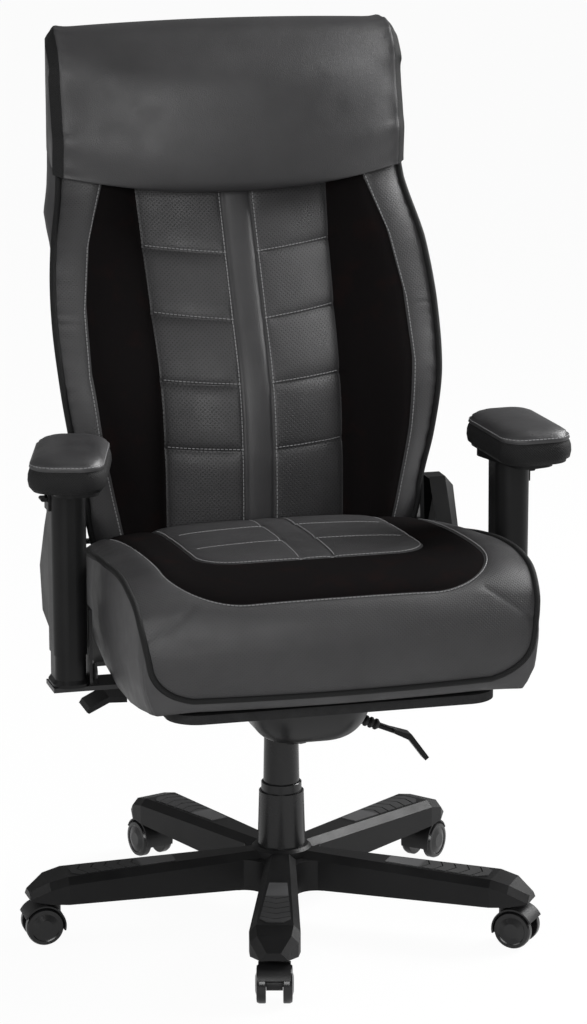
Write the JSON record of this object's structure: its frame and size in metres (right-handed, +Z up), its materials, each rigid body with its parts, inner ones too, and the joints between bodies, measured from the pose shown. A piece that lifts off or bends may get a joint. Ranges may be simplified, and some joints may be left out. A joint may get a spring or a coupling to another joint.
{
  "type": "gaming rocker chair",
  "caption": "High-back swivel gaming chair: tilting seat, reclining back, height-adjustable arms, gas column and five-leg base on twin-wheel casters.",
  "frame": {"origin": "on the floor, under the axis of the gas column", "axes": "+Z up; the sitter faces -Y; +X is the sitter's left"},
  "size_m": [0.722, 0.7128, 1.184],
  "materials": {
    "base_nylon": "satin",
    "tread_rubber": "satin",
    "steel_black": "satin",
    "steel_bright": "satin",
    "bush_plastic": "matte",
    "plastic_black": "matte",
    "bellows_rubber": "matte",
    "plywood": "matte",
    "cushion_leatherette": "satin",
    "caster_plastic": "satin",
    "wheel_plastic": "gloss"
  },
  "bodies": {
    "base": {"base_star": "base_nylon", "leg_treads": "tread_rubber", "caster_sockets": "steel_bright", "gas_support_tube": "steel_black", "guide_bush": "bush_plastic", "cover_lower": "base_nylon"},
    "swivel": {"piston_rod": "steel_bright", "rod_bearing": "steel_bright"},
    "cover_middle": {"cover_middle": "base_nylon"},
    "column": {"gas_cylinder": "steel_bright", "cover_upper": "base_nylon", "mechanism_housing": "steel_black", "tilt_shaft": "steel_bright", "tilt_spring": "steel_bright"},
    "tension_knob": {"tension_knob": "plastic_black"},
    "height_lever": {"height_lever": "plastic_black"},
    "tilt_lock_lever": {"tilt_lock_lever": "plastic_black", "lever_bellows": "bellows_rubber"},
    "seat": {"seat_plate": "steel_black", "seat_pan": "plywood", "seat_bolts": "steel_bright", "seat_cushion": "cushion_leatherette", "arm_strap_left": "steel_black", "arm_strap_right": "steel_black", "arm_post_left": "plastic_black", "arm_post_right": "plastic_black", "seat_brackets": "steel_black", "recline_pins": "steel_bright", "bracket_cover_left": "plastic_black", "bracket_cover_right": "plastic_black"},
    "recline_lever": {"recline_lever": "steel_black"},
    "back": {"back_brackets": "steel_black", "back_bolts": "steel_bright", "back_board": "plywood", "back_cushion": "cushion_leatherette", "back_rear_cover": "cushion_leatherette", "head_pad": "cushion_leatherette"},
    "arm_left": {"arm_sleeve_left": "plastic_black"},
    "trigger_left": {"arm_trigger_left": "plastic_black"},
    "arm_pad_left": {"arm_pad_plate_left": "plastic_black", "arm_pad_left": "cushion_leatherette"},
    "arm_right": {"arm_sleeve_right": "plastic_black"},
    "trigger_right": {"arm_trigger_right": "plastic_black"},
    "arm_pad_right": {"arm_pad_plate_right": "plastic_black", "arm_pad_right": "cushion_leatherette"},
    "caster_front": {"caster_front_hood": "caster_plastic"},
    "caster_front_wheel_inner": {"caster_front_wheel_inner": "wheel_plastic"},
    "caster_front_wheel_outer": {"caster_front_wheel_outer": "wheel_plastic"},
    "caster_left_front": {"caster_left_front_hood": "caster_plastic"},
    "caster_left_front_wheel_inner": {"caster_left_front_wheel_inner": "wheel_plastic"},
    "caster_left_front_wheel_outer": {"caster_left_front_wheel_outer": "wheel_plastic"},
    "caster_left_rear": {"caster_left_rear_hood": "caster_plastic"},
    "caster_left_rear_wheel_inner": {"caster_left_rear_wheel_inner": "wheel_plastic"},
    "caster_left_rear_wheel_outer": {"caster_left_rear_wheel_outer": "wheel_plastic"},
    "caster_right_rear": {"caster_right_rear_hood": "caster_plastic"},
    "caster_right_rear_wheel_inner": {"caster_right_rear_wheel_inner": "wheel_plastic"},
    "caster_right_rear_wheel_outer": {"caster_right_rear_wheel_outer": "wheel_plastic"},
    "caster_right_front": {"caster_right_front_hood": "caster_plastic"},
    "caster_right_front_wheel_inner": {"caster_right_front_wheel_inner": "wheel_plastic"},
    "caster_right_front_wheel_outer": {"caster_right_front_wheel_outer": "wheel_plastic"}
  },
  "joints": [
    {"name": "column_swivel", "type": "hinge", "parent": "base", "child": "swivel", "pos_m": [0, 0, 0.055], "axis": [0, 0, 1], "continuous": true},
    {"name": "gas_lift", "type": "slide", "parent": "swivel", "child": "column", "axis": [0, 0, 1], "range_m": [-0.06, 0.04]},
    {"name": "cover_middle_slide", "type": "slide", "parent": "base", "child": "cover_middle", "axis": [0, 0, 1], "range_m": [-0.03, 0.02]},
    {"name": "knob_turn", "type": "hinge", "parent": "column", "child": "tension_knob", "pos_m": [0, -0.058, 0.276], "axis": [0, 0, 1], "continuous": true},
    {"name": "height_lever_lift", "type": "hinge", "parent": "column", "child": "height_lever", "pos_m": [-0.066, -0.004, 0.31], "axis": [0, 1, 0], "range_deg": [0, 2.5], "stiffness_Nm_per_rad": 4, "springref_deg": -2.86},
    {"name": "tilt_lock_turn", "type": "hinge", "parent": "column", "child": "tilt_lock_lever", "pos_m": [0.0605, -0.055, 0.3], "axis": [0, -1, 0], "range_deg": [0, 8]},
    {"name": "seat_tilt", "type": "hinge", "parent": "column", "child": "seat", "pos_m": [0, -0.104, 0.326], "axis": [-1, 0, 0], "range_deg": [0, 10], "stiffness_Nm_per_rad": 90, "springref_deg": -42.97, "deforming": ["tilt_spring"]},
    {"name": "back_recline", "type": "hinge", "parent": "seat", "child": "back", "pos_m": [0, 0.15, 0.428], "axis": [-1, 0, 0], "range_deg": [0, 40]},
    {"name": "recline_lever_lift", "type": "hinge", "parent": "seat", "child": "recline_lever", "pos_m": [-0.267, 0.15, 0.428], "axis": [-1, 0, 0], "range_deg": [0, 6], "stiffness_Nm_per_rad": 3, "springref_deg": -5.73},
    {"name": "arm_height_left", "type": "slide", "parent": "seat", "child": "arm_left", "axis": [0, 0, 1], "range_m": [0, 0.07]},
    {"name": "trigger_press_left", "type": "slide", "parent": "arm_left", "child": "trigger_left", "axis": [0, 0, 1], "range_m": [0, 0.004], "stiffness_N_per_m": 600, "springref_m": -0.002},
    {"name": "pad_turn_left", "type": "hinge", "parent": "arm_left", "child": "arm_pad_left", "pos_m": [0.298, -0.05, 0.63], "axis": [0, 0, 1], "range_deg": [-36, 4]},
    {"name": "arm_height_right", "type": "slide", "parent": "seat", "child": "arm_right", "axis": [0, 0, 1], "range_m": [0, 0.07]},
    {"name": "trigger_press_right", "type": "slide", "parent": "arm_right", "child": "trigger_right", "axis": [0, 0, 1], "range_m": [0, 0.004], "stiffness_N_per_m": 600, "springref_m": -0.002},
    {"name": "pad_turn_right", "type": "hinge", "parent": "arm_right", "child": "arm_pad_right", "pos_m": [-0.298, -0.05, 0.63], "axis": [0, 0, 1], "range_deg": [-23, 17]},
    {"name": "caster_front_swivel", "type": "hinge", "parent": "base", "child": "caster_front", "pos_m": [-0.08918, -0.30107, 0.06], "axis": [0, 0, 1], "continuous": true},
    {"name": "caster_front_roll_inner", "type": "hinge", "parent": "caster_front", "child": "caster_front_wheel_inner", "pos_m": [-0.09332, -0.31652, 0.025], "axis": [0.9659, -0.2588, 0], "continuous": true},
    {"name": "caster_front_roll_outer", "type": "hinge", "parent": "caster_front", "child": "caster_front_wheel_outer", "pos_m": [-0.09332, -0.31652, 0.025], "axis": [0.9659, -0.2588, 0], "continuous": true},
    {"name": "caster_left_front_swivel", "type": "hinge", "parent": "base", "child": "caster_left_front", "pos_m": [0.25878, -0.17785, 0.06], "axis": [0, 0, 1], "continuous": true},
    {"name": "caster_left_front_roll_inner", "type": "hinge", "parent": "caster_left_front", "child": "caster_left_front_wheel_inner", "pos_m": [0.27138, -0.1877, 0.025], "axis": [0.6157, 0.788, 0], "continuous": true},
    {"name": "caster_left_front_roll_outer", "type": "hinge", "parent": "caster_left_front", "child": "caster_left_front_wheel_outer", "pos_m": [0.27138, -0.1877, 0.025], "axis": [0.6157, 0.788, 0], "continuous": true},
    {"name": "caster_left_rear_swivel", "type": "hinge", "parent": "base", "child": "caster_left_rear", "pos_m": [0.24911, 0.19115, 0.06], "axis": [0, 0, 1], "continuous": true},
    {"name": "caster_left_rear_roll_inner", "type": "hinge", "parent": "caster_left_rear", "child": "caster_left_rear_wheel_inner", "pos_m": [0.26043, 0.20247, 0.025], "axis": [-0.7071, 0.7071, 0], "continuous": true},
    {"name": "caster_left_rear_roll_outer", "type": "hinge", "parent": "caster_left_rear", "child": "caster_left_rear_wheel_outer", "pos_m": [0.26043, 0.20247, 0.025], "axis": [-0.7071, 0.7071, 0], "continuous": true},
    {"name": "caster_right_rear_swivel", "type": "hinge", "parent": "base", "child": "caster_right_rear", "pos_m": [-0.10482, 0.29599, 0.06], "axis": [0, 0, 1], "continuous": true},
    {"name": "caster_right_rear_roll_inner", "type": "hinge", "parent": "caster_right_rear", "child": "caster_right_rear_wheel_inner", "pos_m": [-0.10949, 0.31129, 0.025], "axis": [-0.9563, -0.2924, 0], "continuous": true},
    {"name": "caster_right_rear_roll_outer", "type": "hinge", "parent": "caster_right_rear", "child": "caster_right_rear_wheel_outer", "pos_m": [-0.10949, 0.31129, 0.025], "axis": [-0.9563, -0.2924, 0], "continuous": true},
    {"name": "caster_right_front_swivel", "type": "hinge", "parent": "base", "child": "caster_right_front", "pos_m": [-0.31389, -0.00822, 0.06], "axis": [0, 0, 1], "continuous": true},
    {"name": "caster_right_front_roll_inner", "type": "hinge", "parent": "caster_right_front", "child": "caster_right_front_wheel_inner", "pos_m": [-0.32989, -0.00822, 0.025], "axis": [0, -1, 0], "continuous": true},
    {"name": "caster_right_front_roll_outer", "type": "hinge", "parent": "caster_right_front", "child": "caster_right_front_wheel_outer", "pos_m": [-0.32989, -0.00822, 0.025], "axis": [0, -1, 0], "continuous": true}
  ],
  "couplings": [
    {"joint": "cover_middle_slide", "follows": "gas_lift", "ratio": 0.5}
  ]
}
